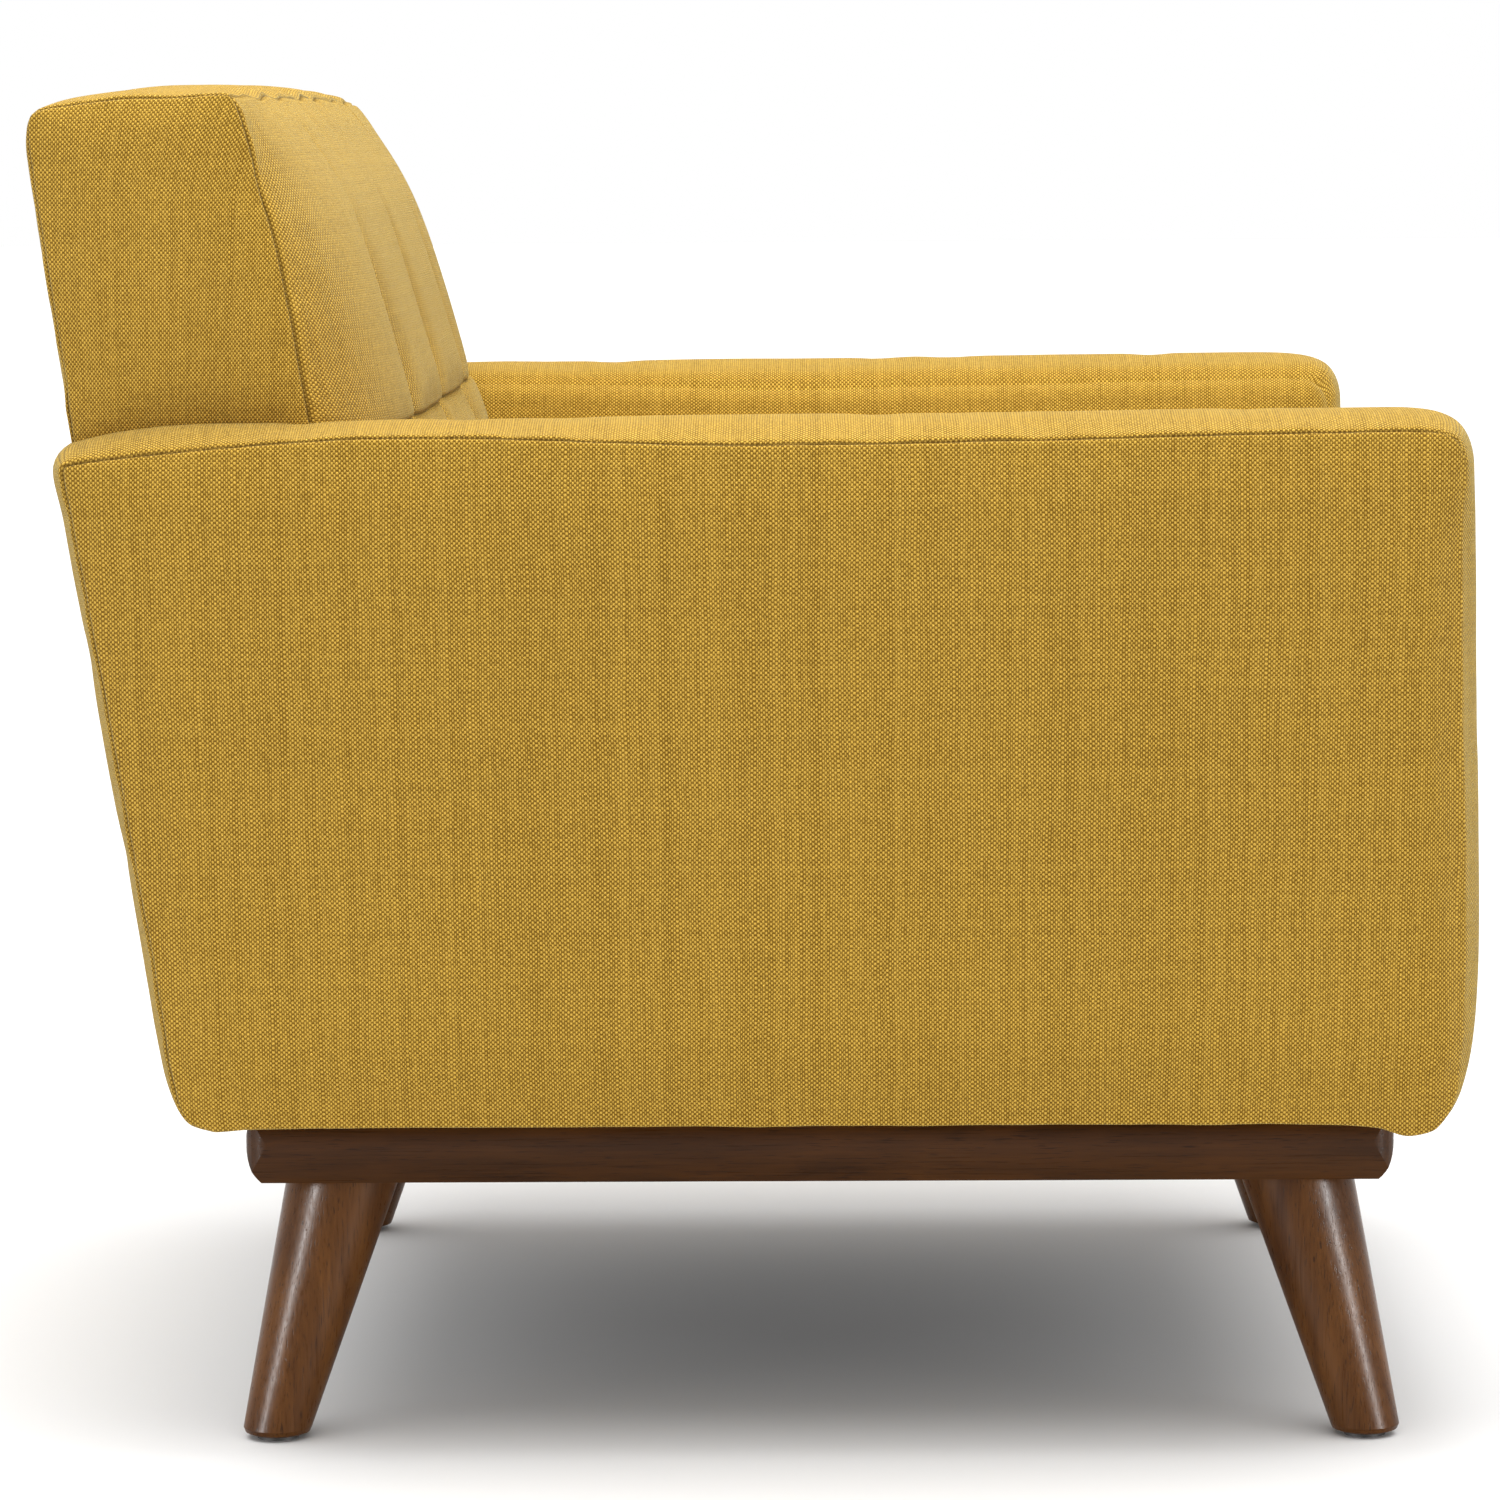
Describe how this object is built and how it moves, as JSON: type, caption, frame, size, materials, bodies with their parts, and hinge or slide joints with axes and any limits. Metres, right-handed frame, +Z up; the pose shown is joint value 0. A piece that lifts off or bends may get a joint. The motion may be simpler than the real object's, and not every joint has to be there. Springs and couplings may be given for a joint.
{
  "type": "single-seat sofa",
  "caption": "Wide single-seat sofa with out-leaning padded arms, a channelled tufted back and a loose seat cushion, on a wooden plinth with splayed tapered legs.",
  "frame": {"origin": "on the floor, under the middle of the overall box", "axes": "+X to the sitter's left, +Y to the rear, +Z up"},
  "size_m": [0.986, 0.8768, 0.839],
  "materials": {
    "walnut": "walnut-stained hardwood, satin lacquer",
    "frame_timber": "unfinished softwood and plywood",
    "upholstery": "mustard linen-look weave with slubs",
    "foam": "seat foam",
    "deck_cloth": "plain woven decking cloth",
    "dust_cloth": "black non-woven dust cloth",
    "webbing": "woven elastic webbing",
    "steel": "zinc-plated steel",
    "glide_plastic": "dark nylon glide",
    "zip": "nylon zip tape and coil"
  },
  "bodies": {
    "frame": {"arm_left_bottom_rail": "frame_timber", "arm_left_front_pad": "upholstery", "arm_left_front_post": "frame_timber", "arm_left_inner_pad": "upholstery", "arm_left_outer_pad": "upholstery", "arm_left_rear_panel": "upholstery", "arm_left_rear_post": "frame_timber", "arm_left_top_pad": "upholstery", "arm_left_top_rail": "frame_timber", "arm_right_bottom_rail": "frame_timber", "arm_right_front_pad": "upholstery", "arm_right_front_post": "frame_timber", "arm_right_inner_pad": "upholstery", "arm_right_outer_pad": "upholstery", "arm_right_rear_panel": "upholstery", "arm_right_rear_post": "frame_timber", "arm_right_top_pad": "upholstery", "arm_right_top_rail": "frame_timber", "back_lower_foam": "upholstery", "back_lower_rail": "frame_timber", "back_post_left": "frame_timber", "back_post_right": "frame_timber", "back_rear_panel": "upholstery", "back_side_pad_left": "upholstery", "back_side_pad_right": "upholstery", "back_top_pad": "upholstery", "back_top_rail": "frame_timber", "back_upper_foam": "upholstery", "back_upright_left": "frame_timber", "back_upright_right": "frame_timber", "back_webbing": "webbing", "corner_blocks": "frame_timber", "deck_pad": "deck_cloth", "dust_cover": "dust_cloth", "frame_dowels": "frame_timber", "front_border": "upholstery", "glide_front_left": "glide_plastic", "glide_front_right": "glide_plastic", "glide_rear_left": "glide_plastic", "glide_rear_right": "glide_plastic", "hanger_bolts": "steel", "leg_front_left": "walnut", "leg_front_right": "walnut", "leg_rear_left": "walnut", "leg_rear_right": "walnut", "plinth_rail_front": "walnut", "plinth_rail_left": "walnut", "plinth_rail_rear": "walnut", "plinth_rail_right": "walnut", "seat_rail_front": "frame_timber", "seat_rail_rear": "frame_timber", "seat_springs": "steel", "spring_clips": "steel", "tee_nuts": "steel"},
    "seat_cushion": {"cushion_core": "foam", "cushion_cover": "upholstery", "cushion_zip": "zip"}
  },
  "joints": [
    {"name": "cushion_lift", "type": "slide", "parent": "frame", "child": "seat_cushion", "axis": [0, 0, 1], "range_m": [0, 0.35]}
  ]
}
